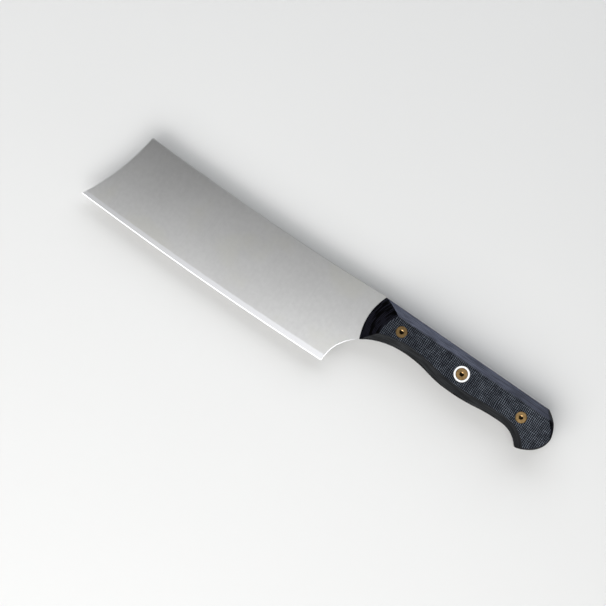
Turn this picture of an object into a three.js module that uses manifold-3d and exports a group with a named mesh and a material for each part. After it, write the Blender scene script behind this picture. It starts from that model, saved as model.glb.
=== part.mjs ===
// Nakiri kitchen knife: a flat-ground blade with a full tang, two laminated handle scales, three
// two-piece handle bolts, and a white collar round each head of the middle bolt.
// Millimetres. X runs from the tip to the butt, Y from the cutting edge to the spine, and Z out of
// the left side, so that the knife lies on its right side. Every piece is drawn from the front of the
// handle, with y = 0 along the straight top of the handle and z = 0 in the middle of the blade.
import * as THREE from "three";
import { mergeVertices } from "three/addons/utils/BufferGeometryUtils.js";
import Module from "manifold-3d";

// Blade
const BLADE_LENGTH = 165; // tip of the edge to the front of the handle
const TIP_DEPTH = 47.5; // tip of the edge below the top of the handle
const HEEL_DEPTH = 48.6;
const EDGE_BELLY = 1.4; // how far the edge bows out between tip and heel
const NOSE_RAKE = 14.8; // spine corner behind the tip of the edge
const NOSE_HOLLOW = 2.4; // how far the nose bows in
const NOSE_CORNER = 0.9;
const SPINE_TIP_DROP = 1; // spine corner below the top of the handle
const SPINE_DIP = 2.85; // how far the spine's control points hang below the top of the handle
const SPINE_BEND_REAR = 0.26; // where those points stand, as shares of the spine's run
const SPINE_BEND_FRONT = 0.64;
const SPINE_EASE = 0.4; // chamfer along the spine and the choil
const TANG_THICKNESS = 2.5;
const DISTAL_TAPER = 0.16; // each side, from heel to tip
const GRIND_DEPTH = 0.85; // each side, from the spine to the relief at the heel
const RELIEF_AT_HEEL = 3.6; // width of the bright relief bevel
const RELIEF_AT_TIP = 2.75;
const CUTTING_BEVEL = 0.5;
const CUTTING_ANGLE = 15; // degrees, each side
const EDGE_LAND = 0.06; // thickness left at the cutting edge
const PLUNGE_GAP = 0.2; // the ground flats end in a step this far ahead of the scales

// Choil and underside of the handle
const HEEL_LEAD = 7.1; // heel ahead of the front of the handle
const HEEL_CORNER = 0.8;
const CHOIL_WIDTH = 35.1;
const CHOIL_HEIGHT = 26;
const CHOIL_BARE_TO = 136; // degrees round the choil from the heel's 180, where the scales begin
const FRONT_WAIST_DEPTH = 19.9;
const BELLY_DEPTH = 23.3;
const REAR_WAIST_DEPTH = 21.15;
const REAR_WAIST_FROM_BUTT = 27.4;

// Butt of the handle
const HANDLE_LENGTH = 118.4;
const HOOK_FROM_BUTT = 13.4;
const HOOK_DEPTH = 28.2;
const HOOK_CORNER = 1.2;
const HOOK_BEND = 0.58; // where the hook turns down, as a share of its run
const BUTT_DEPTH = 13.6; // rearmost point below the top of the handle
const BUTT_SLOPE_RUN = 10.4; // from the end of the straight top to the rearmost point
const BUTT_CROWN = 0.83; // where the slope behind the top bends, as a share of its run
const BUTT_CROWN_DEPTH = 3.8;
const BUTT_CHIN = 0.66; // fullness of the curve above the hook
const BUTT_ROUND_UPPER = 2.8; // rounding behind the top, and from the rearmost point down
const BUTT_ROUND_LOWER = 1;
const BUTT_FULLNESS = 1.5; // 1 is a flat bevel, 2 a quarter circle

// Scales
const SCALE_THICKNESS = 7.75;
const SPINE_REVEAL = 0.6; // the tang stands this far above the scales
const SCALE_LIP = 0.4; // square edge left beside the tang
const TOP_BEVEL = 4.8;
const UNDER_BEVEL_FRONT = 4.5; // width of the lower bevel at the front waist, the belly and the rear waist
const UNDER_BEVEL_BELLY = 4.95;
const UNDER_BEVEL_REAR = 3.8;
const BEVEL_FULLNESS = 1.04; // 1 is a flat bevel, 2 a quarter ellipse
const FRONT_ARC_RADIUS = 32; // front of the scale where it meets the blade
const FRONT_ARC_DEPTH = 13.3;
const FRONT_SLOPE_RUN = 10; // how far the sloped front runs back on its way up
const FRONT_CREST_RADIUS = 18.2; // upper end of the sloped front
const FRONT_CREST_DEPTH = 16.5;

// Handle bolts: a screw from the left, held by a sleeve nut from the right
const BOLT_FROM_FRONT = 19.6;
const BOLT_FROM_BUTT = 19.9;
const FRONT_BOLT_DEPTH = 11.4;
const REAR_BOLT_DEPTH = 12.8;
const MIDDLE_BOLT_DEPTH = 11.7;
const HEAD_DIAMETER = 6.35;
const HEAD_HEIGHT = 3.2;
const HEAD_CHAMFER = 0.15;
const STUD_DIAMETER = 3;
const SLEEVE_WALL = 0.9;
const SOCKET_FLATS = 2.5;
const SOCKET_FLOOR = 1.1; // brass left under the flats of the drive socket
const SOCKET_POINT = 0.4; // drill point below the flats
const BOLT_CLEARANCE = 0.1; // radial, in each bolt hole and in the sleeve
const BOLT_END_GAP = 0.4; // keeps screw and sleeve from bottoming before they clamp
const COLLAR_GAP = 0.22; // radial, between bolt head and collar
const COLLAR_WALL = 1;
const COLLAR_STEP = 0.6; // the collar ends this far above the seat of the bolt head

// How finely curves are divided
const CURVE_STEPS = 14;
const EDGE_STEPS = 24;
const BEVEL_STEPS = 7;
const ROUND_SEGMENTS = 40;
const CUT_MARGIN = 4; // cutters reach this far past what they cut

// Sizes that follow from these
const halfTang = TANG_THICKNESS / 2;
const halfHandle = halfTang + SCALE_THICKNESS;
const tipX = -BLADE_LENGTH;
const heelX = -HEEL_LEAD;
const frontWaistX = heelX + CHOIL_WIDTH;
const rearWaistX = HANDLE_LENGTH - REAR_WAIST_FROM_BUTT;
const bellyX = (frontWaistX + rearWaistX) / 2;
const hookX = HANDLE_LENGTH - HOOK_FROM_BUTT;
const topEndX = HANDLE_LENGTH - BUTT_SLOPE_RUN;
const frontBoltX = BOLT_FROM_FRONT;
const rearBoltX = HANDLE_LENGTH - BOLT_FROM_BUTT;
const middleBoltX = (frontBoltX + rearBoltX) / 2;
const headRadius = HEAD_DIAMETER / 2;
const studRadius = STUD_DIAMETER / 2;
const boreRadius = studRadius + BOLT_CLEARANCE;
const sleeveRadius = boreRadius + SLEEVE_WALL;
const collarBoreRadius = headRadius + COLLAR_GAP;
const collarRadius = collarBoreRadius + COLLAR_WALL;
const headSeatZ = halfHandle - HEAD_HEIGHT;
const collarSeatZ = headSeatZ + COLLAR_STEP;

const { lerp, clamp, smoothstep, degToRad } = THREE.MathUtils;
const point = (x, y) => new THREE.Vector2(x, y);
const steps = (count) => Array.from({ length: count + 1 }, (_, i) => i / count);

// Solids that can be cut and joined

const wasm = await Module();
wasm.setup();

function solidFrom(geometry) {
  const bare = geometry.clone();
  bare.deleteAttribute("normal");
  bare.deleteAttribute("uv");
  const { index, attributes } = mergeVertices(bare, 1e-5);
  const triVerts = [];
  for (let i = 0; i < index.count; i += 3) {
    const corners = [index.getX(i), index.getX(i + 1), index.getX(i + 2)];
    if (new Set(corners).size === 3) triVerts.push(...corners);
  }
  const mesh = { numProp: 3, vertProperties: attributes.position.array, triVerts: new Uint32Array(triVerts) };
  return new wasm.Manifold(new wasm.Mesh(mesh));
}

function geometryFrom(solid) {
  const { vertProperties, triVerts } = solid.getMesh();
  const geometry = new THREE.BufferGeometry();
  geometry.setAttribute("position", new THREE.BufferAttribute(vertProperties, 3));
  geometry.setIndex(new THREE.BufferAttribute(triVerts, 1));
  return geometry;
}

const cut = (solid, ...cutters) => cutters.reduce((rest, cutter) => rest.subtract(cutter), solid);

// A flat outline raised from one height to another.
function plate(outline, bottom, top) {
  const settings = { depth: top - bottom, bevelEnabled: false };
  return solidFrom(new THREE.ExtrudeGeometry(new THREE.Shape(outline), settings).translate(0, 0, bottom));
}

function bar(radius, bottom, top, x = 0, y = 0) {
  const cylinder = new THREE.CylinderGeometry(radius, radius, top - bottom, ROUND_SEGMENTS);
  return solidFrom(cylinder.rotateX(Math.PI / 2).translate(x, y, (bottom + top) / 2));
}

// A body skinned over rings of points. Looking from the first ring to the last, each ring turns
// counter-clockwise, as does flat, which holds one ring in its own plane.
function loft(rings, flat) {
  const count = flat.length;
  const last = (rings.length - 1) * count;
  const index = [];
  for (let start = 0; start < last; start += count) {
    for (let i = 0; i < count; i++) {
      const next = (i + 1) % count;
      index.push(start + i, start + count + i, start + next);
      index.push(start + next, start + count + i, start + count + next);
    }
  }
  for (const [a, b, c] of THREE.ShapeUtils.triangulateShape(flat, [])) {
    index.push(a, b, c, last + c, last + b, last + a);
  }
  const geometry = new THREE.BufferGeometry().setFromPoints(rings.flat());
  geometry.setIndex(index);
  return solidFrom(geometry);
}

// A profile carried along a flat path: its x points out of the outline and its y along Z.
function sweep(path, profileAt) {
  const rings = path.map((station) =>
    profileAt(station).map((p) => {
      const at = station.at.clone().addScaledVector(station.out, p.x);
      return new THREE.Vector3(at.x, at.y, p.y);
    }),
  );
  return loft(rings, profileAt(path[0]));
}

function mirrored(solid) {
  const geometry = geometryFrom(solid).scale(1, 1, -1);
  return solidFrom(geometry.setIndex(Array.from(geometry.index.array).reverse()));
}

// A turned body: the profile holds radius and height.
function turned(profile) {
  return solidFrom(new THREE.LatheGeometry(profile, ROUND_SEGMENTS).rotateX(Math.PI / 2));
}

// Outline of the steel, drawn counter-clockwise from the heel

const towards = (from, to, distance) => to.clone().sub(from).setLength(distance).add(from);
const drawn = (curves) => curves.flatMap((curve) => curve.getPoints(CURVE_STEPS));
const tidied = (points) => points.filter((p, i) => p.distanceTo(points[(i + 1) % points.length]) > 1e-3);

function roundedCorner(before, corner, after, size) {
  return new THREE.QuadraticBezierCurve(towards(corner, before, size), corner, towards(corner, after, size));
}

// A curve that is level at both of its ends.
function wave(x0, depth0, x1, depth1) {
  const middle = (x0 + x1) / 2;
  const bends = [point(middle, -depth0), point(middle, -depth1)];
  return new THREE.CubicBezierCurve(point(x0, -depth0), ...bends, point(x1, -depth1));
}

// The choil from the heel up to an angle on its ellipse, in degrees.
function choilArc(end) {
  const { x, y } = choilCentre;
  return new THREE.EllipseCurve(x, y, CHOIL_WIDTH, CHOIL_HEIGHT, Math.PI, degToRad(end), true);
}

const choilCentre = point(frontWaistX, -FRONT_WAIST_DEPTH - CHOIL_HEIGHT);
const choil = choilArc(90);
const bellyFront = wave(frontWaistX, FRONT_WAIST_DEPTH, bellyX, BELLY_DEPTH);
const bellyRear = wave(bellyX, BELLY_DEPTH, rearWaistX, REAR_WAIST_DEPTH);
const hookTip = point(hookX, -HOOK_DEPTH);
const hookBend = point(lerp(rearWaistX, hookX, HOOK_BEND), -REAR_WAIST_DEPTH);
const buttEnd = point(HANDLE_LENGTH, -BUTT_DEPTH);
const buttChin = point(HANDLE_LENGTH, -lerp(BUTT_DEPTH, HOOK_DEPTH, BUTT_CHIN));
const buttCrown = point(lerp(topEndX, HANDLE_LENGTH, BUTT_CROWN), -BUTT_CROWN_DEPTH);
const hook = roundedCorner(hookBend, hookTip, buttChin, HOOK_CORNER);
const hookInner = new THREE.QuadraticBezierCurve(point(rearWaistX, -REAR_WAIST_DEPTH), hookBend, hook.v0);
const buttLower = new THREE.QuadraticBezierCurve(hook.v2, buttChin, buttEnd);
const buttUpper = new THREE.QuadraticBezierCurve(buttEnd, buttCrown, point(topEndX, 0));
const undersideCurves = [choil, bellyFront, bellyRear, hookInner];
const buttCurves = [buttLower, buttUpper];
const handleOutline = drawn([...undersideCurves, hook, ...buttCurves]);

const noseTop = point(tipX + NOSE_RAKE, -SPINE_TIP_DROP);
const tip = point(tipX, -TIP_DEPTH);
const handleTop = new THREE.LineCurve(point(topEndX, 0), point(0, 0));
const spineBends = [SPINE_BEND_REAR, SPINE_BEND_FRONT].map((share) => point(share * noseTop.x, -SPINE_DIP));
const spine = new THREE.CubicBezierCurve(point(0, 0), ...spineBends, noseTop);
const noseWay = tip.clone().sub(noseTop);
const noseInward = point(-noseWay.y, noseWay.x).setLength(2 * NOSE_HOLLOW);
const nose = new THREE.QuadraticBezierCurve(noseTop, noseTop.clone().lerp(tip, 0.5).add(noseInward), tip);

// The cutting edge, a shallow bow from tip to heel.
function edgeY(x) {
  const share = (x - tipX) / (heelX - tipX);
  return -lerp(TIP_DEPTH, HEEL_DEPTH, share) - 4 * EDGE_BELLY * share * (1 - share);
}

const edgeStations = steps(EDGE_STEPS).map((share) => lerp(tipX, heelX, share));

function steelOutline() {
  const edge = edgeStations.map((x) => point(x, edgeY(x)));
  const heel = edge.pop();
  const heelCorner = roundedCorner(edge.at(-1), heel, choil.getPoint(0), HEEL_CORNER);
  const back = spine.getPoints(EDGE_STEPS).slice(0, -1);
  const front = nose.getPoints(CURVE_STEPS).slice(1);
  const noseCorner = roundedCorner(back.at(-1), noseTop, front[0], NOSE_CORNER);
  return tidied([
    ...heelCorner.getPoints(4),
    ...handleOutline,
    ...back,
    ...noseCorner.getPoints(4),
    ...front,
    ...edge,
  ]);
}

// Stations along curves, each with the way forward and the way out of the outline.
function pathAlong(curves, divisions) {
  const stations = curves.flatMap((curve) =>
    steps(divisions).map((share) => {
      const along = curve.getTangent(share);
      return { at: curve.getPoint(share), along, out: point(along.y, -along.x) };
    }),
  );
  const apart = stations.filter((s, i) => i === 0 || s.at.distanceTo(stations[i - 1].at) > 1e-3);
  const runOn = (station, length) => {
    const at = station.at.clone().addScaledVector(station.along, length);
    return { ...station, at };
  };
  return [runOn(apart[0], -CUT_MARGIN), ...apart, runOn(apart.at(-1), CUT_MARGIN)];
}

// Blade and tang: a flat blank, ground to a wedge on both sides and given its edge

// Half the thickness that grinding leaves: a plane from the tip to the front of the handle.
function groundHalf(x, y) {
  const towardsEdge = (GRIND_DEPTH * -y) / (HEEL_DEPTH - RELIEF_AT_HEEL);
  const towardsTip = (DISTAL_TAPER * (heelX - Math.min(x, 0))) / (heelX - tipX);
  return halfTang - towardsEdge - towardsTip;
}

// Front of the scales where they meet the blade.
function frontFoot(y) {
  return (y + FRONT_ARC_DEPTH) ** 2 / (2 * FRONT_ARC_RADIUS);
}

// What grinding takes off the left side at one station, in Y and Z.
function grindSection(x) {
  const edge = edgeY(x);
  const share = Math.min((x - tipX) / (heelX - tipX), 1);
  const relief = edge + lerp(RELIEF_AT_TIP, RELIEF_AT_HEEL, share);
  const land = EDGE_LAND / 2;
  const bevelHalf = land + CUTTING_BEVEL * Math.tan(degToRad(CUTTING_ANGLE));
  return [
    point(edge - CUT_MARGIN, land),
    point(edge, land),
    point(edge + CUTTING_BEVEL, bevelHalf),
    point(relief, groundHalf(x, relief)),
    point(CUT_MARGIN, groundHalf(x, CUT_MARGIN)),
    point(CUT_MARGIN, halfTang + CUT_MARGIN),
    point(edge - CUT_MARGIN, halfTang + CUT_MARGIN),
  ];
}

// The grinding, which stops in a step along the front of the scales.
function grindCutter() {
  const stations = [tipX - CUT_MARGIN, ...edgeStations, 0, CUT_MARGIN].reverse();
  const rings = stations.map((x) => grindSection(x).map((p) => new THREE.Vector3(x, p.x, p.y)));
  const step = steps(2 * CURVE_STEPS).map((share) => {
    const y = lerp(choilCentre.y, 2 * CUT_MARGIN, share);
    return point(frontFoot(y) - PLUNGE_GAP, y);
  });
  const behind = [...step, point(HANDLE_LENGTH, step.at(-1).y), point(HANDLE_LENGTH, step[0].y)];
  const handle = plate(behind, -CUT_MARGIN, halfTang + 2 * CUT_MARGIN);
  return cut(loft(rings, grindSection(stations[0])), handle);
}

// The chamfer that eases a bare edge of the steel.
function easeCutter(path) {
  return sweep(path, ({ at }) => {
    const half = groundHalf(at.x, at.y);
    return [
      point(-SPINE_EASE - CUT_MARGIN, half + CUT_MARGIN),
      point(CUT_MARGIN, half - SPINE_EASE - CUT_MARGIN),
      point(CUT_MARGIN, half + CUT_MARGIN),
    ];
  });
}

const bolts = [
  { place: "front", x: frontBoltX, y: -FRONT_BOLT_DEPTH },
  { place: "middle", x: middleBoltX, y: -MIDDLE_BOLT_DEPTH },
  { place: "rear", x: rearBoltX, y: -REAR_BOLT_DEPTH },
];

function bladeSolid() {
  const blank = plate(steelOutline(), -halfTang, halfTang);
  const top = pathAlong([handleTop, spine], EDGE_STEPS);
  const bareChoil = pathAlong([choilArc(CHOIL_BARE_TO)], CURVE_STEPS).slice(0, -1);
  const left = grindCutter().add(easeCutter(top)).add(easeCutter(bareChoil));
  const holeRadius = sleeveRadius + BOLT_CLEARANCE;
  const holes = bolts.map(({ x, y }) => bar(holeRadius, -halfTang - CUT_MARGIN, halfTang + CUT_MARGIN, x, y));
  return cut(blank, left, mirrored(left), ...holes);
}

// Scale of the left side: bevelled along the top and the underside, rounded at the butt, and sloped
// back at the front over a hollow that narrows from the blade to the crest

const bevelHeight = SCALE_THICKNESS - SCALE_LIP;

// What a bevel takes off, out of the outline and along Z, under a face whose height may change.
function bevelSection(width, height, fullness, faceAt = () => halfHandle) {
  const top = halfHandle + CUT_MARGIN;
  const fall = steps(BEVEL_STEPS).map((share) => {
    const turn = (share * Math.PI) / 2;
    const across = width * (Math.sin(turn) ** (2 / fullness) - 1);
    const up = Math.abs(Math.cos(turn)) ** (2 / fullness);
    return point(across, faceAt(across) + height * (up - 1));
  });
  return [point(-width, top), ...fall, point(CUT_MARGIN, fall.at(-1).y), point(CUT_MARGIN, top)];
}

// Width of the lower bevel, which is widest along the belly.
function underBevel(x) {
  const front = lerp(UNDER_BEVEL_FRONT, UNDER_BEVEL_BELLY, smoothstep(x, frontWaistX, bellyX));
  return lerp(front, UNDER_BEVEL_REAR, smoothstep(x, bellyX, rearWaistX));
}

// Height of the scale's face where the top bevel has lowered it.
function faceHeight(y) {
  const outward = 1 - clamp((-SPINE_REVEAL - y) / TOP_BEVEL, 0, 1);
  const rise = (1 - outward ** BEVEL_FULLNESS) ** (1 / BEVEL_FULLNESS);
  return halfHandle + bevelHeight * (rise - 1);
}

// The rounding of the butt, carried on over the end of the top bevel.
function buttSection({ at, out }) {
  const faceAt = (across) => faceHeight(at.y + out.y * across);
  const width = lerp(BUTT_ROUND_LOWER, BUTT_ROUND_UPPER, smoothstep(at.y, -BUTT_DEPTH, -BUTT_CROWN_DEPTH));
  const height = Math.min(width, faceAt(0) - halfTang - SCALE_LIP / 2);
  return bevelSection(width, height, BUTT_FULLNESS, faceAt);
}

function frontCutter() {
  const ring = (level) => {
    const slope = steps(3 * CURVE_STEPS).map((share) => {
      const y = lerp(choilCentre.y - CUT_MARGIN, CUT_MARGIN, share);
      const crest = FRONT_SLOPE_RUN + (y + FRONT_CREST_DEPTH) ** 2 / (2 * FRONT_CREST_RADIUS);
      return point(lerp(frontFoot(y), crest, level), y);
    });
    const ahead = heelX - CUT_MARGIN;
    return [...slope, point(ahead, slope.at(-1).y), point(ahead, slope[0].y)];
  };
  const overrun = 0.1;
  const raised = (level) => {
    const z = lerp(halfTang, halfHandle, level);
    return ring(level).map((p) => new THREE.Vector3(p.x, p.y, z));
  };
  return loft([raised(1 + overrun), raised(-overrun)], ring(1));
}

function scaleSolid() {
  const blank = plate(tidied([...handleOutline, point(heelX, 0)]), halfTang, halfHandle);
  const scaleTop = new THREE.LineCurve(point(HANDLE_LENGTH, -SPINE_REVEAL), point(heelX, -SPINE_REVEAL));
  const underside = pathAlong(undersideCurves, CURVE_STEPS);
  const reveal = [
    point(heelX - CUT_MARGIN, -SPINE_REVEAL),
    point(HANDLE_LENGTH + CUT_MARGIN, -SPINE_REVEAL),
    point(HANDLE_LENGTH + CUT_MARGIN, CUT_MARGIN),
    point(heelX - CUT_MARGIN, CUT_MARGIN),
  ];
  const above = halfHandle + CUT_MARGIN;
  const holes = bolts.flatMap(({ x, y }) => [
    bar(sleeveRadius + BOLT_CLEARANCE, halfTang - CUT_MARGIN, above, x, y),
    bar(headRadius + BOLT_CLEARANCE, headSeatZ, above, x, y),
  ]);
  const collarHole = bar(collarRadius + BOLT_CLEARANCE, collarSeatZ, above, middleBoltX, -MIDDLE_BOLT_DEPTH);
  return cut(
    blank,
    plate(reveal, halfTang - CUT_MARGIN, above),
    frontCutter(),
    sweep(pathAlong([scaleTop], 1), () => bevelSection(TOP_BEVEL, bevelHeight, BEVEL_FULLNESS)),
    sweep(underside, ({ at }) => bevelSection(underBevel(at.x), bevelHeight, BEVEL_FULLNESS)),
    sweep(pathAlong(buttCurves, CURVE_STEPS), buttSection),
    ...holes,
    collarHole,
  );
}

// Bolts and collars, drawn with their heads up

function socket() {
  const floor = headSeatZ + SOCKET_FLOOR;
  const corner = SOCKET_FLATS / Math.sqrt(3);
  const hexagon = new THREE.CylinderGeometry(corner, corner, 2 * (halfHandle - floor), 6);
  const flats = solidFrom(hexagon.rotateX(Math.PI / 2).rotateZ(Math.PI / 6).translate(0, 0, halfHandle));
  const radius = SOCKET_FLATS / 2;
  const drill = [point(radius, floor), point(radius, halfHandle), point(0, halfHandle)];
  return flats.add(turned([point(0, floor - SOCKET_POINT), ...drill]));
}

const headProfile = [
  point(headRadius, headSeatZ),
  point(headRadius, halfHandle - HEAD_CHAMFER),
  point(headRadius - HEAD_CHAMFER, halfHandle),
  point(0, halfHandle),
];
const shankEndZ = BOLT_END_GAP - headSeatZ;

function screwSolid() {
  const stud = [point(0, shankEndZ), point(studRadius, shankEndZ), point(studRadius, headSeatZ)];
  return cut(turned([...stud, ...headProfile]), socket());
}

function sleeveSolid() {
  const bore = [point(0, headSeatZ), point(boreRadius, headSeatZ), point(boreRadius, shankEndZ)];
  const shank = [point(sleeveRadius, shankEndZ), point(sleeveRadius, headSeatZ)];
  return cut(turned([...bore, ...shank, ...headProfile]), socket());
}

function collarSolid() {
  const ring = bar(collarRadius, collarSeatZ, halfHandle);
  return cut(ring, bar(collarBoreRadius, collarSeatZ - CUT_MARGIN, halfHandle + CUT_MARGIN));
}

// Assembly. The right side mirrors the left one.

const steel = { color: 0xb7babd, roughness: 0.34, metalness: 1 };
const laminate = { color: 0x3c414d, roughness: 0.7, metalness: 0 };
const brass = { color: 0xb58a45, roughness: 0.36, metalness: 1 };
const whitePlastic = { color: 0xf3f3f0, roughness: 0.3, metalness: 0 };
const LEFT = 1;
const RIGHT = -1;

const knife = new THREE.Group();

function add(name, geometry, look, side, x = 0, y = 0) {
  const material = new THREE.MeshStandardMaterial({ ...look, flatShading: true });
  const mesh = new THREE.Mesh(geometry, material);
  mesh.name = name;
  mesh.position.set(x, y, 0);
  mesh.scale.z = side;
  knife.add(mesh);
}

const scaleGeometry = geometryFrom(scaleSolid());
const screwGeometry = geometryFrom(screwSolid());
const sleeveGeometry = geometryFrom(sleeveSolid());
const collarGeometry = geometryFrom(collarSolid());
add("blade", geometryFrom(bladeSolid()), steel, LEFT);
add("scale_left", scaleGeometry, laminate, LEFT);
add("scale_right", scaleGeometry, laminate, RIGHT);
for (const { place, x, y } of bolts) {
  add(`bolt_screw_${place}`, screwGeometry, brass, LEFT, x, y);
  add(`bolt_sleeve_${place}`, sleeveGeometry, brass, RIGHT, x, y);
}
add("collar_left", collarGeometry, whitePlastic, LEFT, middleBoltX, -MIDDLE_BOLT_DEPTH);
add("collar_right", collarGeometry, whitePlastic, RIGHT, middleBoltX, -MIDDLE_BOLT_DEPTH);

// The knife lies on its right side with the middle of its footprint over the origin.
const box = new THREE.Box3().setFromObject(knife);
const middle = box.getCenter(new THREE.Vector3());
knife.position.set(-middle.x, -middle.y, -box.min.z);

export default new THREE.Group().add(knife);
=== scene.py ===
"""Finishes the nakiri knife and sets it on a studio table.

The blade is satin steel, the scales woven laminate, the bolts turned brass and the collars white plastic.
"""

import math

import bmesh
import bpy
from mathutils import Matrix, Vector


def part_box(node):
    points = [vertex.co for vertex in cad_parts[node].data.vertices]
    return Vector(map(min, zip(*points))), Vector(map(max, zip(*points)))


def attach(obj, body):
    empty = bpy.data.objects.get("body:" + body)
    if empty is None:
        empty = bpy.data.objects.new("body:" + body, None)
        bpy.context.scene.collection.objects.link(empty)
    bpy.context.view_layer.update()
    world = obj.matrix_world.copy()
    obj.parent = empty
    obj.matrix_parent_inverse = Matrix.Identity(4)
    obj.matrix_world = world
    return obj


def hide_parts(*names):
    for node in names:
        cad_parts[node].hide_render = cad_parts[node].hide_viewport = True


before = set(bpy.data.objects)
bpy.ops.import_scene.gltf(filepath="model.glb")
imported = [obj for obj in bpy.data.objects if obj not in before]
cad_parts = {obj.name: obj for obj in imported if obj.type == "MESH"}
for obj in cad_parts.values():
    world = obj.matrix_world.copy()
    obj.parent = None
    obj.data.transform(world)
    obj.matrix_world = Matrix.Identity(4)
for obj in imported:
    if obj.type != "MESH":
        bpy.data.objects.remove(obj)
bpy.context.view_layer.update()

bl_info = {
    "name": "Nakiri knife finish",
    "version": (1, 0, 0),
    "blender": (4, 5, 0),
    "location": "3D View > Sidebar > Nakiri",
    "description": "Makes the finished pieces of a nakiri knife and the studio round it",
    "category": "Object",
}

BOLTS = ("front", "middle", "rear")
SIDES = ("left", "right")
MM = 1000.0  # millimetres in a metre

# Meshes: edges that turn by more than the crease stay sharp
BLADE_CREASE = math.radians(0.6)
SCALE_CREASE = math.radians(20)
BOLT_CREASE = math.radians(14)
RING_CREASE = math.radians(50)
NORMAL_WEIGHT = 50  # how strongly large faces set the shading
RING_STEPS = 96
CORNER_STEPS = 4
HEAD_SIDES = 64
SHANK_SIDES = 48
SOCKET_SIDES = 6
MERGE_DISTANCE = 1e-6  # this and the next two in metres
COLLAR_WALL = 0.001
BORE_CLEARANCE = 0.0001

# Steel: how many times a pattern repeats in a millimetre
STEEL_CLOUDS = 0.03
STEEL_SPECKS = 0.45
STEEL_STAINS = 0.045
LINE_STRETCH = 0.05  # along the brushed lines
# The relief bevel's painted cool sheen begins and is full at these leans.
RELIEF_LEAN = (0.024, 0.04)  # lean towards the edge at which the relief bevel begins and is full

# Laminate: how many times a pattern repeats in a millimetre
WEAVE_DRIFT = 0.05
WEAVE_RIPPLE = 0.22
WEAVE_PATCHES = 0.16
THREAD_STRETCH = 0.3  # along a thread
LAYER_WAVES = 0.25
LAYER_STRETCH = 0.12  # along a layer
BAND_STRETCH = 0.1  # along a band of several layers
BAND_STEP = 0.62  # bands to a layer
RAGGED_EDGE = 0.16
LAMINATE_GRIT = 2.2
THREAD_STEP = 3.7  # sets a thread's pattern apart from the next one's
LAYER_STEP = 5.3  # the same for layers
LEVEL_OFFSET = 40.0  # sets the level threads' pattern apart from the upright ones'
# Faces leaning this way take the upper bevel's painted light.
SPINE_LEAN = (0.2, 0.6)  # lean towards the spine at which the upper bevel begins and is full

# Laminate: where a change of tone begins and ends along the knife, in millimetres
LIGHTER_ALONG = (20.0, 140.0)
# Along this stretch the upper bevel's painted light dims towards the butt.
UPPER_FADE = (60.0, 150.0)
UNDER_FADE = (50.0, 85.0)
FRONT_FADE = (60.0, 90.0)

# Brass and plastic: how many times a pattern repeats in a millimetre
BRASS_TARNISH = 0.55
BRASS_SPECKS = 5.0
PLASTIC_CLOUDS = 0.8
PLASTIC_SPECKS = 6.0

# Drive socket: where its painted shade and its painted glint begin and end, in millimetres
SOCKET_RIM = (1.5, 1.7)  # from the axis
SOCKET_SHADE = (0.05, 0.5)  # below the face
# The painted glint on the drill point begins at this depth.
SOCKET_FLOOR = (2.0, 2.1)  # below the face

# Stage
TABLE_CLOUDS = 0.01  # repeats in a millimetre
TABLE_REACH = 6.0  # metres from its middle to a side
TABLE_SQUARES = 8
BLADE_LEVEL = 0.010  # height over the table at which the view's width is measured, in metres
SENSOR_WIDTH = 36.0  # millimetres
CAMERA_OVER = (-0.0096, -0.00385)  # the point that the camera stands over, in metres
WHITE = (1.0, 1.0, 1.0)
COOL_WHITE = (0.94, 0.965, 1.0)
WARM_WHITE = (1.0, 0.99, 0.975)
OVERHEAD_TURN = (0.0, 0.0, math.radians(15.5))

# Lights: name, setting of its power and the share taken of it, place and size in metres,
# turn (None faces the knife), colour, and whether shiny surfaces mirror it.
# The one on the spine side is split: the blade mirrors a quarter of it, and the rest stands just behind.
LIGHTS = (
    ("overhead", "overhead", 1.0, (0.015, -0.4295, 0.547), (1.0, 0.8), OVERHEAD_TURN, WHITE, True),
    ("spine_side", "spine_side", 0.25, (-0.45, 1.3, 1.0), (2.6, 1.4), None, COOL_WHITE, True),
    ("spine_side_matt", "spine_side", 0.75, (-0.459, 1.326, 1.02), (2.6, 1.4), None, COOL_WHITE, False),
    ("choil_side", "choil_side", 1.0, (1.25, -0.35, 0.14), (1.5, 0.24), None, WHITE, True),
    ("tip_side", "end_sides", 1.0, (-1.7, -0.2, 0.8), (2.2, 1.2), None, WHITE, True),
    ("butt_side", "end_sides", 1.0, (1.7, -0.2, 0.8), (2.2, 1.2), None, WHITE, True),
    ("edge_side", "edge_side", 1.0, (0.15, -1.6, 1.3), (2.8, 1.5), None, WARM_WHITE, True),
)


def middle(node):
    """The middle of a solid's box."""
    low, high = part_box(node)
    return (Vector(low) + Vector(high)) / 2


def width(node):
    """How far a solid reaches along the knife."""
    low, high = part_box(node)
    return high[0] - low[0]


BOLT_AXES = [middle(f"bolt_screw_{place}").xy for place in BOLTS]
COLLAR_AXIS = middle("collar_left").xy
HALF_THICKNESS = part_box("scale_left")[1][2] / 2
SCALE_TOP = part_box("scale_left")[1][1]


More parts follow.
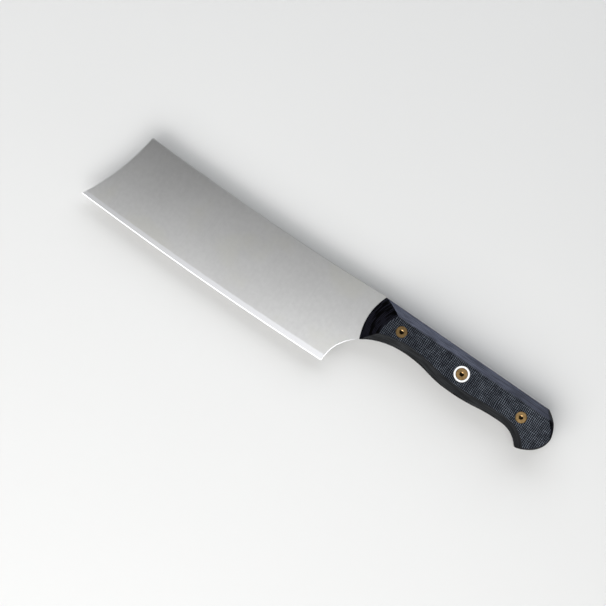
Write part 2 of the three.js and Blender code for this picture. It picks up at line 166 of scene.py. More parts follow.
class Reading:
    """A socket that gives a number or a vector; sums written on numbers add Math nodes."""

    def __init__(self, graph, socket):
        self.graph = graph
        self.socket = socket

    def beside(self, outlet):
        """Another outlet of the same node."""
        return Reading(self.graph, self.socket.node.outputs[outlet])

    def math(self, operation, *others):
        return self.graph.math(operation, self, *others)

    def __add__(self, other):
        return self.graph.math("ADD", self, other)

    def __radd__(self, other):
        return self.graph.math("ADD", other, self)

    def __sub__(self, other):
        return self.graph.math("SUBTRACT", self, other)

    def __rsub__(self, other):
        return self.graph.math("SUBTRACT", other, self)

    def __mul__(self, other):
        return self.graph.math("MULTIPLY", self, other)

    def __rmul__(self, other):
        return self.graph.math("MULTIPLY", other, self)

    def __truediv__(self, other):
        return self.graph.math("DIVIDE", self, other)

    def __pow__(self, other):
        return self.graph.math("POWER", self, other)

    def __neg__(self):
        return self.graph.math("MULTIPLY", self, -1.0)

    def __abs__(self):
        return self.graph.math("ABSOLUTE", self)

    def __gt__(self, other):
        return self.graph.math("GREATER_THAN", self, other)

    def __lt__(self, other):
        return self.graph.math("LESS_THAN", self, other)

    def floor(self):
        return self.math("FLOOR")

    def fract(self):
        return self.math("FRACT")

    def larger(self, other):
        return self.math("MAXIMUM", other)

    def smaller(self, other):
        return self.math("MINIMUM", other)

    def ramp(self, low, high):
        """Rises smoothly from 0 at low to 1 at high."""
        sockets = {"Value": self, "From Min": low, "From Max": high}
        return self.graph.node("ShaderNodeMapRange", {"interpolation_type": "SMOOTHSTEP"}, sockets)


class Graph:
    """A node tree and the one way in which nodes are added to it."""

    def __init__(self, tree):
        self.tree = tree

    def feed(self, socket, value):
        """Links a reading to a socket, or sets a plain value on it."""
        if isinstance(value, Reading):
            self.tree.links.new(value.socket, socket)
        elif socket.type == "RGBA":
            socket.default_value = (*value[:3], 1.0)
        else:
            socket.default_value = value

    def node(self, kind, settings=None, sockets=None, outlet=0):
        """Adds a node of a kind, its settings first and then what goes into its sockets."""
        made = self.tree.nodes.new(kind)
        for name, value in (settings or {}).items():
            setattr(made, name, value)
        for name, value in (sockets or {}).items():
            self.feed(made.inputs[name], value)
        return Reading(self, made.outputs[outlet])

    def math(self, operation, *terms):
        return self.node("ShaderNodeMath", {"operation": operation}, dict(enumerate(terms)))

    def vector(self, x, y, z=0.0):
        return self.node("ShaderNodeCombineXYZ", None, {"X": x, "Y": y, "Z": z})

    def parts(self, vector):
        """The three numbers of a vector."""
        split = self.node("ShaderNodeSeparateXYZ", None, {"Vector": vector})
        return split, split.beside("Y"), split.beside("Z")


class Finish(Graph):
    """A material with one main shader; x, y and z give the place on the piece in millimetres."""

    def __init__(self, name, constants):
        self.material = bpy.data.materials.new(name)
        self.material.use_nodes = True
        super().__init__(self.material.node_tree)
        self.tree.nodes.clear()
        self.shader = self.tree.nodes.new("ShaderNodeBsdfPrincipled")
        output = self.tree.nodes.new("ShaderNodeOutputMaterial")
        self.tree.links.new(self.shader.outputs["BSDF"], output.inputs["Surface"])
        self.surface(constants)
        place = self.node("ShaderNodeTexCoord", outlet="Object")
        scaled = {"Vector": place, "Scale": MM}
        self.place = self.node("ShaderNodeVectorMath", {"operation": "SCALE"}, scaled)
        self.x, self.y, self.z = self.parts(self.place)

    def surface(self, sockets):
        """Sets or links sockets of the main shader."""
        for name, value in sockets.items():
            self.feed(self.shader.inputs[name], value)

    def noise(self, vector, scale, detail=2.0):
        sockets = {"Vector": vector, "Scale": scale, "Detail": detail}
        return self.node("ShaderNodeTexNoise", {"noise_dimensions": "3D"}, sockets)

    def blend(self, factor, first, second):
        """One colour passing into another as the factor goes from 0 to 1."""
        sockets = {0: factor, 6: first, 7: second}
        return self.node("ShaderNodeMix", {"data_type": "RGBA"}, sockets, 2)

    def bump(self, height, strength, depth):
        """A relief of the given depth in millimetres."""
        sockets = {"Height": height, "Strength": strength, "Distance": depth / MM}
        return self.node("ShaderNodeBump", None, sockets)

    def facing(self):
        """The three numbers of the direction that the surface faces."""
        return self.parts(self.node("ShaderNodeNewGeometry", outlet="Normal"))


def shade_of(colour, factor):
    """A colour made lighter or darker."""
    return tuple(part * factor for part in colour[:3])


def satin_steel(look):
    """Ground and brushed steel: fine lines across the blade, with soft cloudy patches and a painted cool
    sheen on the faces that lean towards the edge.
    """
    steel = Finish("satin_steel", {"Metallic": 1.0})
    brushed = steel.vector(steel.x / look.line_pitch, steel.y * LINE_STRETCH, steel.z)
    lines = steel.noise(brushed, 1.0, 3.0)
    clouds = steel.noise(steel.place, STEEL_CLOUDS, 4.0)
    specks = steel.noise(steel.place, STEEL_SPECKS, 3.0)
    tone = 0.4 * clouds + 0.2 * lines + 0.4 * specks
    dark = shade_of(look.steel_colour, 0.95)
    light = shade_of(look.steel_colour, 1.05)
    grey = steel.blend(tone.ramp(0.3, 0.7), dark, light)
    stain = steel.noise(steel.place, STEEL_STAINS, 2.0).ramp(0.5, 0.72)
    worn = steel.blend(0.5 * stain, grey, look.stain_colour)
    north = steel.facing()[1]
    # Faces that lean towards the edge get a painted cool sheen: a bluer copy of the steel's colour.
    relief = (-north).ramp(*RELIEF_LEAN)
    steel.surface(
        {
            "Base Color": steel.blend(0.7 * relief, worn, look.relief_sheen_colour),
            "Roughness": look.steel_roughness + 0.02 * (clouds - 0.5) + 0.004 * (lines - 0.5),
            "Normal": steel.bump(lines, 0.003, 0.02),
        }
    )
    return steel.material


def woven_laminate(look):
    """Cloth pressed in dark resin: a plain weave on the flats and cut layers on the slopes, with painted
    light and shade: the upper bevel painted lighter, the lower bevel darker and the ends painted dark.
    """
    cloth = Finish("woven_laminate", {"IOR": 1.5, "Specular IOR Level": 0.03})
    layer = look.layer_thickness * MM
    half = HALF_THICKNESS * MM

    drift = cloth.noise(cloth.place, WEAVE_DRIFT, 1.0)
    ripple = cloth.noise(cloth.place, WEAVE_RIPPLE, 1.0)
    across = cloth.x / (look.upright_pitch * MM) + 1.5 * (drift - 0.5) + 1.1 * (ripple - 0.5)
    along = cloth.y / (look.level_pitch * MM) - 1.2 * (drift - 0.5) + 1.1 * (ripple - 0.5)
    upright = across.floor()
    level = along.floor()
    upright_crown = (1 - abs(2 * across.fract() - 1)).ramp(0.54, 1.0)
    level_crown = (1 - abs(2 * along.fract() - 1)).ramp(0.25, 0.95)
    up_threads = cloth.vector(upright * THREAD_STEP, cloth.y * THREAD_STRETCH)
    level_threads = cloth.vector(cloth.x * THREAD_STRETCH, level * THREAD_STEP, LEVEL_OFFSET)
    upright_slub = cloth.noise(up_threads, 1.0, 2.0).ramp(0.3, 0.65)
    level_slub = cloth.noise(level_threads, 1.0, 2.0).ramp(0.3, 0.65)
    upright_thread = upright_crown * (0.45 + 0.55 * upright_slub)
    level_thread = level_crown * (0.3 + 0.7 * level_slub)
    patches = cloth.noise(cloth.place, WEAVE_PATCHES, 2.0).ramp(0.3, 0.7)
    rearward = cloth.x.ramp(*LIGHTER_ALONG)
    lit = (0.75 + 0.4 * patches) * (0.78 + 0.38 * rearward)
    weave = (0.4 * upright_thread + 0.1 * level_thread + 0.5 * upright_thread * level_thread) * lit

    depth = half - abs(cloth.z - half)
    ply = depth / layer + 0.8 * cloth.noise(cloth.place, LAYER_WAVES, 2.0)
    layers = cloth.vector(ply.floor() * LAYER_STEP, cloth.x * LAYER_STRETCH, cloth.y * LAYER_STRETCH)
    ply_tone = cloth.noise(layers, 1.0, 1.0)
    seam = abs(2 * ply.fract() - 1).ramp(0.4, 0.9)
    cut = (0.25 + 0.75 * ply_tone.ramp(0.3, 0.7)) * (1 - 0.8 * seam)
    groups = cloth.vector(ply * BAND_STEP, cloth.x * BAND_STRETCH, cloth.y * BAND_STRETCH)
    band = cloth.noise(groups, 1.0, 2.0).ramp(0.3, 0.7) - 0.5

    east, north, up = cloth.facing()
    flat = abs(up).ramp(0.86, 0.985)
    # Faces turned towards the butt or the tip get the ends' painted shade.
    butt = east.ramp(0.1, 0.32) * north.ramp(-0.35, 0.15)
    front = (-east).ramp(0.22, 0.5) * (1 - 0.65 * cloth.x.ramp(*FRONT_FADE))
    end = butt.larger(front)
    ragged = cloth.noise(cloth.place, RAGGED_EDGE, 3.0)
    crest = (SCALE_TOP - look.top_bevel) * MM
    skimmed = (cloth.y - crest + 2.4 * (ragged - 0.5)).ramp(-0.8, 0.8)
    # The upper bevel's painted light covers faces leaning to the spine and the band above the crest.
    leaning = north.ramp(*SPINE_LEAN)
    top = leaning.larger(skimmed)
    bare = flat * (1 - 0.8 * skimmed) + (1 - flat) * leaning * (1 - skimmed)

    woven = cloth.blend(weave, look.resin_colour, look.thread_colour)
    under_grain = 0.7 * cut + 0.6 * weave + 0.8 * band
    # Lower bevel: a shaded copy of the laminate, painted darker.
    shaded_under = cloth.blend(under_grain, shade_of(look.shaded_under_colour, 0.5), shade_of(look.shaded_under_colour, 1.8))
    upper_grain = 0.6 * cut + 0.5 * weave + 0.65 * band
    # Upper bevel: a lit copy of the laminate, painted lighter and bluer as light falls from the spine's
    # side.
    lit_upper = cloth.blend(upper_grain, shade_of(look.lit_top_colour, 0.62), shade_of(look.lit_top_colour, 1.6))
    # The upper bevel's painted light dims towards the butt.
    fading = cloth.blend(0.42 * cloth.x.ramp(*UPPER_FADE), lit_upper, look.resin_colour)
    # The lower bevel turns darker towards the rear.
    waning = cloth.blend(0.24 * cloth.x.ramp(*UNDER_FADE), shaded_under, look.resin_colour)
    slope = cloth.blend(top, waning, fading)
    streaks = cut.ramp(0.32, 0.66)
    # The ends: painted shade, with the dark cut layers showing as streaks.
    tip = cloth.blend(streaks, shade_of(look.shaded_end_colour, 0.0), shade_of(look.shaded_end_colour, 3.7))
    sides = cloth.blend(bare, slope, woven)
    grit = cloth.noise(cloth.place, LAMINATE_GRIT, 2.0)
    relief = 0.3 * flat * weave + 0.25 * (1 - flat) * cut + 0.05 * grit
    cloth.surface(
        {
            "Base Color": cloth.blend(end, sides, tip),
            "Roughness": 0.55 + 0.1 * flat * (1 - weave) - 0.14 * end + 0.1 * (grit - 0.5),
            "Normal": cloth.bump(relief, 0.1, 0.06),
        }
    )
    return cloth.material


def turned_brass(look):
    """Brass faced on a lathe: rings round each bolt and a little tarnish, the front bolt darker, with
    painted shade in the drive sockets and a painted glint on their drill points.
    """
    brass = Finish("turned_brass", {"Metallic": 1.0})
    reach = None
    for axis in BOLT_AXES:
        across = brass.x - axis.x * MM
        along = brass.y - axis.y * MM
        radius = (across * across + along * along) ** 0.5
        reach = radius if reach is None else reach.smaller(radius)
    half = HALF_THICKNESS * MM
    sunk = half - abs(brass.z - half)
    # Painted shade deep in the drive sockets.
    socket = sunk.ramp(*SOCKET_SHADE) * (1 - reach.ramp(*SOCKET_RIM))
    north, up = brass.facing()[1:]
    # Painted glint: the half of each drill point that faces the overhead light is painted brighter than
    # brass.
    lit = (-north * up).ramp(0.18, 0.26) * sunk.ramp(*SOCKET_FLOOR)
    tool = look.ring_pitch * MM
    rings = 0.5 + 0.5 * (reach * (2 * math.pi / tool)).math("SINE")
    tarnish = brass.noise(brass.place, BRASS_TARNISH, 3.0)
    specks = brass.noise(brass.place, BRASS_SPECKS, 2.0)
    tone = 0.6 * tarnish + 0.25 * rings + 0.15 * specks
    dark = shade_of(look.brass_colour, 0.52)
    light = shade_of(look.brass_colour, 1.15)
    # The front bolt's face is darker than the middle and rear ones'.
    toward_front_bolt = 1 - brass.x.ramp(BOLT_AXES[0].x * MM, BOLT_AXES[1].x * MM)
    face = brass.blend(tone.ramp(0.25, 0.75) * (1 - 0.9 * toward_front_bolt), dark, light)
    # The sockets' walls and floors are painted nearly black as shade.
    hollow = brass.blend(0.96 * socket, face, shade_of(look.brass_colour, 0.05))
    brass.surface(
        {
            "Base Color": brass.blend(lit, hollow, shade_of(look.brass_colour, 1.9)),
            "Roughness": 0.34 + 0.14 * tarnish - 0.2 * lit,
            "Normal": brass.bump(rings, 0.25, 0.02),
        }
    )
    return brass.material


def white_resin(look):
    """Moulded white plastic with a faint unevenness in its polish."""
    resin = Finish("white_resin", {"IOR": 1.5})
    clouds = resin.noise(resin.place, PLASTIC_CLOUDS, 2.0)
    specks = resin.noise(resin.place, PLASTIC_SPECKS, 2.0)
    resin.surface(
        {
            "Base Color": resin.blend(clouds, shade_of(look.collar_colour, 0.96), look.collar_colour),
            "Roughness": 0.3 + 0.12 * clouds,
            "Normal": resin.bump(specks, 0.05, 0.02),
        }
    )
    return resin.material


def pale_table(look):
    """A matt painted board with a barely visible unevenness."""
    table = Finish("pale_table", {"Roughness": 0.8})
    clouds = table.noise(table.place, TABLE_CLOUDS, 3.0)
    colour = table.blend(clouds, shade_of(look.floor_colour, 0.985), look.floor_colour)
    table.surface({"Base Color": colour})
    return table.material


def show(name, mesh, material):
    """Puts a finished mesh into the scene as a piece."""
    mesh.materials.clear()
    mesh.materials.append(material)
    piece = bpy.data.objects.new(name, mesh)
    bpy.context.scene.collection.objects.link(piece)
    return piece


def belongs(piece, slot, *nodes):
    """Fixes a piece to the knife in place of the solids that it finishes."""
    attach(piece, "root")
    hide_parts(*nodes)


def merged_copy(node, name, crease):
    """A joined-up copy of a solid's faces, smooth except along edges sharper than the crease."""
    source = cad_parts[node].data
    corners = [vertex.co for vertex in source.vertices]
    faces = [face.vertices for face in source.polygons]
    mesh = bpy.data.meshes.new(name)
    mesh.from_pydata(corners, [], faces)
    solid = bmesh.new()
    solid.from_mesh(mesh)
    bmesh.ops.remove_doubles(solid, verts=solid.verts, dist=MERGE_DISTANCE)
    bmesh.ops.dissolve_degenerate(solid, dist=MERGE_DISTANCE, edges=solid.edges)
    solid.to_mesh(mesh)
    solid.free()
    mesh.shade_smooth()
    mesh.set_sharp_from_angle(angle=crease)
    return mesh


def weigh_normals(piece):
    """Lets the large faces set the shading along their edges."""
    finish = piece.modifiers.new("even_shading", "WEIGHTED_NORMAL")
    finish.keep_sharp = True
    finish.weight = NORMAL_WEIGHT


def ring_mesh(name, axis, profile):
    """A ring round an upright axis, turned from a closed profile of radius and height."""
    solid = bmesh.new()
    loops = []
    for step in range(RING_STEPS):
        turn = 2 * math.pi * step / RING_STEPS
        spoke = Vector((math.cos(turn), math.sin(turn), 0.0))
        foot = Vector((axis.x, axis.y, 0.0))
        loops.append([solid.verts.new(foot + spoke * r + Vector((0.0, 0.0, z))) for r, z in profile])
    for step in range(RING_STEPS):
        here = loops[step]
        there = loops[(step + 1) % RING_STEPS]
        for i in range(len(profile)):
            j = (i + 1) % len(profile)
            solid.faces.new((here[i], there[i], there[j], here[j]))
    bmesh.ops.recalc_face_normals(solid, faces=solid.faces)
    mesh = bpy.data.meshes.new(name)
    solid.to_mesh(mesh)
    solid.free()
    mesh.shade_smooth()
    mesh.set_sharp_from_angle(angle=RING_CREASE)
    return mesh


def rounded_section(inner, outer, low, high, soft):
    """The section of a flat ring whose four corners are rounded."""
    corners = (
        (outer - soft, high - soft, 0.0),
        (inner + soft, high - soft, 90.0),
        (inner + soft, low + soft, 180.0),
        (outer - soft, low + soft, 270.0),
    )
    section = []
    for radius, height, start in corners:
        for step in range(CORNER_STEPS + 1):
            turn = math.radians(start + 90.0 * step / CORNER_STEPS)
            section.append((radius + soft * math.cos(turn), height + soft * math.sin(turn)))
    return section


def bolt_tree():
    """Nodes that put a turned bolt head with its socket and its shank on every point."""
    tree = bpy.data.node_groups.new("turned_bolts", "GeometryNodeTree")
    sizes = (
        "Head Radius",
        "Head Height",
        "Rim",
        "Socket Radius",
        "Socket Depth",
        "Socket Point",
        "Shank Radius",
        "Shank Length",
        "Bore Radius",
        "Face Height",
        "Turn",
    )
    tree.interface.new_socket("Geometry", in_out="INPUT", socket_type="NodeSocketGeometry")
    for name in sizes:
        tree.interface.new_socket(name, in_out="INPUT", socket_type="NodeSocketFloat")
    tree.interface.new_socket("Hollow", in_out="INPUT", socket_type="NodeSocketBool")
    tree.interface.new_socket("Material", in_out="INPUT", socket_type="NodeSocketMaterial")
    tree.interface.new_socket("Geometry", in_out="OUTPUT", socket_type="NodeSocketGeometry")

    graph = Graph(tree)
    given = graph.node("NodeGroupInput")
    radius = given.beside("Head Radius")
    height = given.beside("Head Height")
    rim = given.beside("Rim")

    def moved(body, lift):
        shift = {"Geometry": body, "Translation": graph.vector(0.0, 0.0, lift)}
        return graph.node("GeometryNodeTransform", None, shift)

    def rod(sides, size, length, rows=1):
        sockets = {"Vertices": sides, "Side Segments": rows, "Radius": size, "Depth": length}
        return graph.node("GeometryNodeMeshCylinder", {"fill_type": "NGON"}, sockets)

    def without(body, tool):
        sockets = {"Mesh 1": body, "Mesh 2": tool}
        return graph.node("GeometryNodeMeshBoolean", {"operation": "DIFFERENCE"}, sockets)

    blank = rod(HEAD_SIDES, radius, height, 2)
    place = graph.node("GeometryNodeInputPosition")
    x, y, z = graph.parts(place)
    share = 1 - rim / radius
    narrowed = graph.vector(x * share, y * share, z)
    quarter = 0.25 * height
    crown = {"Geometry": blank, "Selection": z > quarter, "Position": narrowed}
    trimmed = graph.node("GeometryNodeSetPosition", None, crown)
    lowered = {
        "Geometry": trimmed,
        "Selection": abs(z) < quarter,
        "Position": graph.vector(x, y, 0.5 * height - rim),
    }
    head = moved(graph.node("GeometryNodeSetPosition", None, lowered), -0.5 * height)

    length = given.beside("Shank Length")
    overlap = 0.3 * height
    stem = rod(SHANK_SIDES, given.beside("Shank Radius"), length + overlap)
    shank = moved(stem, -height - 0.5 * length + 0.5 * overlap)
    union = graph.node("GeometryNodeMeshBoolean", {"operation": "UNION"}, {"Mesh 2": head})
    tree.links.new(shank.socket, union.socket.node.inputs["Mesh 2"])
    bore = moved(rod(SHANK_SIDES, given.beside("Bore Radius"), 2 * length), -height - length)
    hollow = {"Switch": given.beside("Hollow"), "False": union, "True": without(union, bore)}
    body = graph.node("GeometryNodeSwitch", {"input_type": "GEOMETRY"}, hollow)
    sunk = given.beside("Socket Depth")
    key = rod(SOCKET_SIDES, given.beside("Socket Radius"), 2 * sunk)
    tip = given.beside("Socket Point")
    tapered = {
        "Vertices": SHANK_SIDES,
        "Radius Top": 0.86 * given.beside("Socket Radius"),
        "Radius Bottom": 0.0,
        "Depth": 1.1 * tip,
    }
    drill = moved(graph.node("GeometryNodeMeshCone", {"fill_type": "NGON"}, tapered), -sunk - tip)
    bolt = moved(without(without(body, key), drill), given.beside("Face Height"))
    turned = {"Geometry": bolt, "Rotation": graph.vector(given.beside("Turn"), 0.0, 0.0)}
    bolt = graph.node("GeometryNodeTransform", None, turned)

    placed = graph.node("GeometryNodeInstanceOnPoints", None, {"Points": given, "Instance": bolt})
    real = graph.node("GeometryNodeRealizeInstances", None, {"Geometry": placed})
    finish = {"Geometry": real, "Material": given.beside("Material")}
    done = graph.node("GeometryNodeSetMaterial", None, finish)
    output = tree.nodes.new("NodeGroupOutput")
    tree.links.new(done.socket, output.inputs["Geometry"])
    return tree


def grown(name, tree, points, values):
    """Runs a node tree on some points and keeps the result as a plain mesh."""
    seed = bpy.data.meshes.new(name + "_points")
    seed.from_pydata(points, [], [])
    source = bpy.data.objects.new(name + "_points", seed)
    bpy.context.scene.collection.objects.link(source)
    modifier = source.modifiers.new("turned_bolts", "NODES")
    modifier.node_group = tree
    for item in tree.interface.items_tree:
        if item.in_out == "INPUT" and item.name in values:
            modifier[item.identifier] = values[item.name]
    depsgraph = bpy.context.evaluated_depsgraph_get()
    mesh = bpy.data.meshes.new_from_object(source.evaluated_get(depsgraph))
    mesh.name = name
    bpy.data.objects.remove(source)
    mesh.shade_smooth()
    mesh.set_sharp_from_angle(angle=BOLT_CREASE)
    return mesh


def softbox(name, power, place, size, turn, colour, mirrored):
    """A rectangular light that the camera doesn't see, turned as given or else towards the knife."""
    lamp = bpy.data.lights.new(name, "AREA")
    lamp.shape = "RECTANGLE"
    lamp.size, lamp.size_y = size
    lamp.energy = power
    lamp.color = colour
    holder = bpy.data.objects.new(name, lamp)
    holder.location = place
    holder.rotation_euler = turn or Vector(place).to_track_quat("Z", "Y").to_euler()
    holder.visible_camera = False
    holder.visible_glossy = mirrored
    bpy.context.scene.collection.objects.link(holder)


class BladeLook(bpy.types.PropertyGroup):
    """How the steel looks."""

    steel_colour: bpy.props.FloatVectorProperty(
        name="Steel", description="Colour of the steel",
        subtype="COLOR", size=3, default=(0.658, 0.66, 0.658),
    )
    stain_colour: bpy.props.FloatVectorProperty(
        name="Stain", description="Colour of the faint warm patches",
        subtype="COLOR", size=3, default=(0.665, 0.665, 0.62),
    )
    # Painted cool sheen of the relief bevel, a bluer copy of the steel's colour.
    relief_sheen_colour: bpy.props.FloatVectorProperty(
        name="Relief", description="Colour of the fresh steel along the edge",
        subtype="COLOR", size=3, default=(0.655, 0.662, 0.69),
    )
    steel_roughness: bpy.props.FloatProperty(
        name="Roughness", description="How satin the steel is",
        subtype="FACTOR", min=0.05, max=1.0, default=0.286,
    )
    line_pitch: bpy.props.FloatProperty(
        name="Line pitch", description="Spacing of the brushed lines in millimetres",
        min=0.05, default=0.35,
    )


class ScaleLook(bpy.types.PropertyGroup):
    """How the laminate looks."""

    thread_colour: bpy.props.FloatVectorProperty(
        name="Thread", description="Colour of the lightest threads",
        subtype="COLOR", size=3, default=(0.244, 0.274, 0.324),
    )
    resin_colour: bpy.props.FloatVectorProperty(
        name="Resin", description="Colour between the threads",
        subtype="COLOR", size=3, default=(0.0015, 0.002, 0.004),
    )
    # Painted light: the upper bevel is a lighter, bluer copy of the laminate over its cut layers.
    lit_top_colour: bpy.props.FloatVectorProperty(
        name="Top slope", description="Colour of the upper bevel",
        subtype="COLOR", size=3, default=(0.093, 0.101, 0.135),
    )
    # Painted shade: the lower bevel is a darker copy of the laminate over its cut layers.
    shaded_under_colour: bpy.props.FloatVectorProperty(
        name="Under slope", description="Colour of the lower bevel",
        subtype="COLOR", size=3, default=(0.0203, 0.0215, 0.0232),
    )
    # Painted shade of the ends, over their dark cut layers.
    shaded_end_colour: bpy.props.FloatVectorProperty(
        name="End", description="Colour of the sloped front and the butt",
        subtype="COLOR", size=3, default=(0.0026, 0.0026, 0.004),
    )
    upright_pitch: bpy.props.FloatProperty(
        name="Upright threads", description="Spacing of the threads from edge to spine",
        subtype="DISTANCE", unit="LENGTH", min=0.0002, default=0.001,
    )
    level_pitch: bpy.props.FloatProperty(
        name="Level threads", description="Spacing of the threads along the handle",
        subtype="DISTANCE", unit="LENGTH", min=0.0002, default=0.00116,
    )
    top_bevel: bpy.props.FloatProperty(
        name="Top bevel", description="Width of the upper bevel",
        subtype="DISTANCE", unit="LENGTH", min=0.001, default=0.0048,
    )
    layer_thickness: bpy.props.FloatProperty(
        name="Layer", description="Thickness of one layer of cloth",
        subtype="DISTANCE", unit="LENGTH", min=0.0001, default=0.00055,
    )


class BoltLook(bpy.types.PropertyGroup):
    """Sizes and finish of the bolts."""

    brass_colour: bpy.props.FloatVectorProperty(
        name="Brass", description="Colour of the brass",
        subtype="COLOR", size=3, default=(0.405, 0.262, 0.115),
    )
    ring_pitch: bpy.props.FloatProperty(
        name="Ring pitch", description="Spacing of the turning marks",
        subtype="DISTANCE", unit="LENGTH", min=0.0001, default=0.0006,
    )
    rim: bpy.props.FloatProperty(
        name="Rim", description="Width of the chamfer round a head",
        subtype="DISTANCE", unit="LENGTH", min=0.00005, default=0.00015,
    )
    head_height: bpy.props.FloatProperty(
        name="Head height", description="Depth of a head",
        subtype="DISTANCE", unit="LENGTH", min=0.001, default=0.0032,
    )
    socket_flats: bpy.props.FloatProperty(
        name="Socket", description="Width of the six-sided socket across its flats",
        subtype="DISTANCE", unit="LENGTH", min=0.001, default=0.0025,
    )
    socket_depth: bpy.props.FloatProperty(
        name="Socket depth", description="Depth of the socket",
        subtype="DISTANCE", unit="LENGTH", min=0.0005, default=0.0021,
    )
    socket_point: bpy.props.FloatProperty(
        name="Drill point", description="Depth of the drill point under the socket",
        subtype="DISTANCE", unit="LENGTH", min=0.0001, default=0.0004,
    )
    stud_diameter: bpy.props.FloatProperty(
        name="Stud", description="Diameter of the screwed stud",
        subtype="DISTANCE", unit="LENGTH", min=0.001, default=0.003,
    )
    sleeve_diameter: bpy.props.FloatProperty(
        name="Sleeve", description="Outer diameter of the sleeve that takes the stud",
        subtype="DISTANCE", unit="LENGTH", min=0.002, default=0.005,
    )


class CollarLook(bpy.types.PropertyGroup):
    """Finish of the white collars."""

    collar_colour: bpy.props.FloatVectorProperty(
        name="Collar", description="Colour of the collars",
        subtype="COLOR", size=3, default=(0.93, 0.93, 0.92),
    )
    soft_edge: bpy.props.FloatProperty(
        name="Soft edge", description="Rounding of the collars' edges",
        subtype="DISTANCE", unit="LENGTH", min=0.00002, default=0.0001,
    )


class StageLook(bpy.types.PropertyGroup):
    """The table, the lights and the camera."""

    floor_colour: bpy.props.FloatVectorProperty(
        name="Table", description="Colour of the table",
        subtype="COLOR", size=3, default=(0.68, 0.68, 0.672),
    )
    sky: bpy.props.FloatProperty(
        name="Sky", description="Strength of the even light all round",
        min=0.0, default=0.04,
    )
    overhead: bpy.props.FloatProperty(
        name="Overhead", description="Power of the softbox above",
        unit="POWER", min=0.0, default=3.64,
    )
    spine_side: bpy.props.FloatProperty(
        name="Spine side", description="Power of the softbox beyond the spine",
        unit="POWER", min=0.0, default=28.5,
    )
    edge_side: bpy.props.FloatProperty(
        name="Edge side", description="Power of the softbox on the edge's side",
        unit="POWER", min=0.0, default=31.5,
    )
    choil_side: bpy.props.FloatProperty(
        name="Choil side", description="Power of the low softbox that catches the choil",
        unit="POWER", min=0.0, default=5.0,
    )
    end_sides: bpy.props.FloatProperty(
        name="Ends", description="Power of each softbox beyond the tip and the butt",
        unit="POWER", min=0.0, default=3.6,
    )
    distance: bpy.props.FloatProperty(
        name="Camera height", description="Height of the camera over the table",
        subtype="DISTANCE", unit="LENGTH", min=0.3, default=1.6,
    )
    turn: bpy.props.FloatProperty(
        name="Camera turn", description="Turn of the camera about its own line of sight",
        subtype="ANGLE", unit="ROTATION", default=math.radians(34.55),
    )
    view_width: bpy.props.FloatProperty(
        name="View width", description="Width of the picture at the blade",
        subtype="DISTANCE", unit="LENGTH", min=0.1, default=0.32724,
    )


class KnifeLook(bpy.types.PropertyGroup):
    """All the settings of the knife."""

    blade: bpy.props.PointerProperty(type=BladeLook)
    scales: bpy.props.PointerProperty(type=ScaleLook)
    bolts: bpy.props.PointerProperty(type=BoltLook)
    collars: bpy.props.PointerProperty(type=CollarLook)
    stage: bpy.props.PointerProperty(type=StageLook)


class NAKIRI_OT_blade(bpy.types.Operator):
    """Make the satin steel blade"""

    bl_idname = "nakiri.blade"
    bl_label = "Blade"

    def execute(self, context):
        mesh = merged_copy("blade", "blade_steel", BLADE_CREASE)
        piece = show("blade_steel", mesh, satin_steel(context.scene.nakiri.blade))
        weigh_normals(piece)
        belongs(piece, "blade", "blade")
        return {"FINISHED"}


class NAKIRI_OT_scales(bpy.types.Operator):
    """Make the two laminate scales of the handle"""

    bl_idname = "nakiri.scales"
    bl_label = "Scales"

    def execute(self, context):
        material = woven_laminate(context.scene.nakiri.scales)
        for side in SIDES:
            name = f"laminate_{side}"
            mesh = merged_copy(f"scale_{side}", name, SCALE_CREASE)
            piece = show(name, mesh, material)
            weigh_normals(piece)
            belongs(piece, "scale", f"scale_{side}")
        return {"FINISHED"}


class NAKIRI_OT_bolts(bpy.types.Operator):
    """Make the three brass bolts, each a screw and the sleeve that it goes into"""

    bl_idname = "nakiri.bolts"
    bl_label = "Bolts"

    def execute(self, context):
        look = context.scene.nakiri.bolts
        material = turned_brass(look)
        tree = bolt_tree()
        points = [(axis.x, axis.y, HALF_THICKNESS) for axis in BOLT_AXES]
        shared = {
            "Head Radius": width("bolt_screw_front") / 2,
            "Head Height": look.head_height,
            "Rim": look.rim,
            "Socket Radius": look.socket_flats / math.sqrt(3),
            "Socket Depth": look.socket_depth,
            "Socket Point": look.socket_point,
            "Face Height": HALF_THICKNESS,
            "Material": material,
        }
        stud = look.stud_diameter / 2
        sleeve = look.sleeve_diameter / 2
        kinds = (
            ("screw", stud, "bolt_screw_front", False, 0.0),
            ("sleeve", sleeve, "bolt_sleeve_front", True, math.pi),
        )
        for kind, radius, node, hollow, turn in kinds:
            low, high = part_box(node)
            values = dict(shared)
            values["Shank Radius"] = radius
            values["Shank Length"] = high[2] - low[2] - look.head_height
            values["Bore Radius"] = stud + BORE_CLEARANCE
            values["Hollow"] = hollow
            values["Turn"] = turn
            name = f"brass_{kind}s"
            mesh = grown(name, tree, points, values)
            piece = show(name, mesh, material)
            belongs(piece, "bolt", *[f"bolt_{kind}_{place}" for place in BOLTS])
        return {"FINISHED"}


class NAKIRI_OT_collars(bpy.types.Operator):
    """Make the white collars round the middle bolt"""

    bl_idname = "nakiri.collars"
    bl_label = "Collars"

    def execute(self, context):
        look = context.scene.nakiri.collars
        material = white_resin(look)
        outer = width("collar_left") / 2
        for side in SIDES:
            low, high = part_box(f"collar_{side}")
            section = rounded_section(outer - COLLAR_WALL, outer, low[2], high[2], look.soft_edge)
            name = f"white_collar_{side}"
            piece = show(name, ring_mesh(name, COLLAR_AXIS, section), material)
            belongs(piece, "collar", f"collar_{side}")
        return {"FINISHED"}


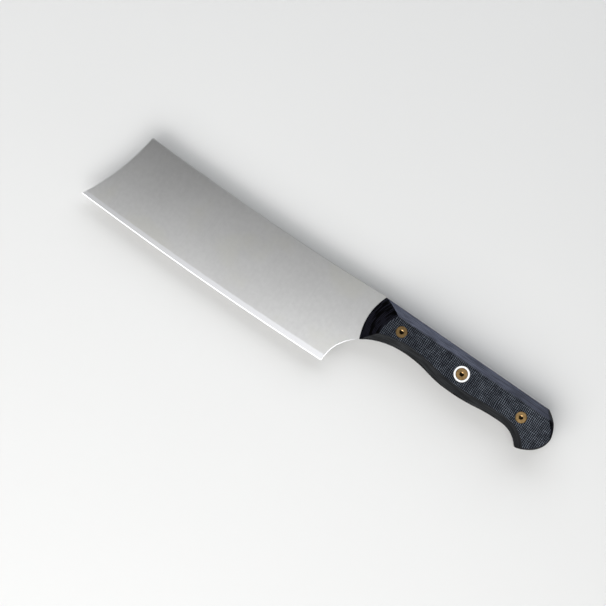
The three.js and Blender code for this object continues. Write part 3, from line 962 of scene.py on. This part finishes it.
class NAKIRI_OT_stage(bpy.types.Operator):
    """Make the table, the lights and the camera"""

    bl_idname = "nakiri.stage"
    bl_label = "Stage"

    def execute(self, context):
        look = context.scene.nakiri.stage
        scene = context.scene
        board = bmesh.new()
        bmesh.ops.create_grid(board, x_segments=TABLE_SQUARES, y_segments=TABLE_SQUARES, size=TABLE_REACH)
        mesh = bpy.data.meshes.new("table")
        board.to_mesh(mesh)
        board.free()
        show("table", mesh, pale_table(look))

        world = bpy.data.worlds.new("studio")
        world.use_nodes = True
        sky = world.node_tree.nodes["Background"]
        sky.inputs["Color"].default_value = (*WHITE, 1.0)
        sky.inputs["Strength"].default_value = look.sky
        scene.world = world

        for name, setting, share, place, size, turn, colour, mirrored in LIGHTS:
            softbox(name, share * getattr(look, setting), place, size, turn, colour, mirrored)

        lens = bpy.data.cameras.new("camera")
        lens.sensor_width = SENSOR_WIDTH
        lens.lens = SENSOR_WIDTH * (look.distance - BLADE_LEVEL) / look.view_width
        camera = bpy.data.objects.new("camera", lens)
        camera.location = (*CAMERA_OVER, look.distance)
        camera.rotation_euler = (0.0, 0.0, look.turn)
        scene.collection.objects.link(camera)
        scene.camera = camera
        scene.view_settings.view_transform = "Standard"
        return {"FINISHED"}


class NAKIRI_PT_pieces(bpy.types.Panel):
    """Lists the pieces and their settings"""

    bl_idname = "NAKIRI_PT_pieces"
    bl_label = "Nakiri knife"
    bl_space_type = "VIEW_3D"
    bl_region_type = "UI"
    bl_category = "Nakiri"

    def draw(self, context):
        look = context.scene.nakiri
        for name in ("blade", "scales", "bolts", "collars", "stage"):
            box = self.layout.box()
            box.operator(f"nakiri.{name}")
            settings = getattr(look, name)
            for prop in settings.bl_rna.properties:
                if prop.identifier not in ("rna_type", "name"):
                    box.prop(settings, prop.identifier)


CLASSES = (
    BladeLook,
    ScaleLook,
    BoltLook,
    CollarLook,
    StageLook,
    KnifeLook,
    NAKIRI_OT_blade,
    NAKIRI_OT_scales,
    NAKIRI_OT_bolts,
    NAKIRI_OT_collars,
    NAKIRI_OT_stage,
    NAKIRI_PT_pieces,
)


def register():
    for cls in CLASSES:
        bpy.utils.register_class(cls)
    bpy.types.Scene.nakiri = bpy.props.PointerProperty(type=KnifeLook)


def unregister():
    del bpy.types.Scene.nakiri
    for cls in reversed(CLASSES):
        bpy.utils.unregister_class(cls)


def main():
    register()
    bpy.ops.nakiri.blade()
    bpy.ops.nakiri.scales()
    bpy.ops.nakiri.bolts()
    bpy.ops.nakiri.collars()
    bpy.ops.nakiri.stage()


if __name__ == "__main__":
    main()
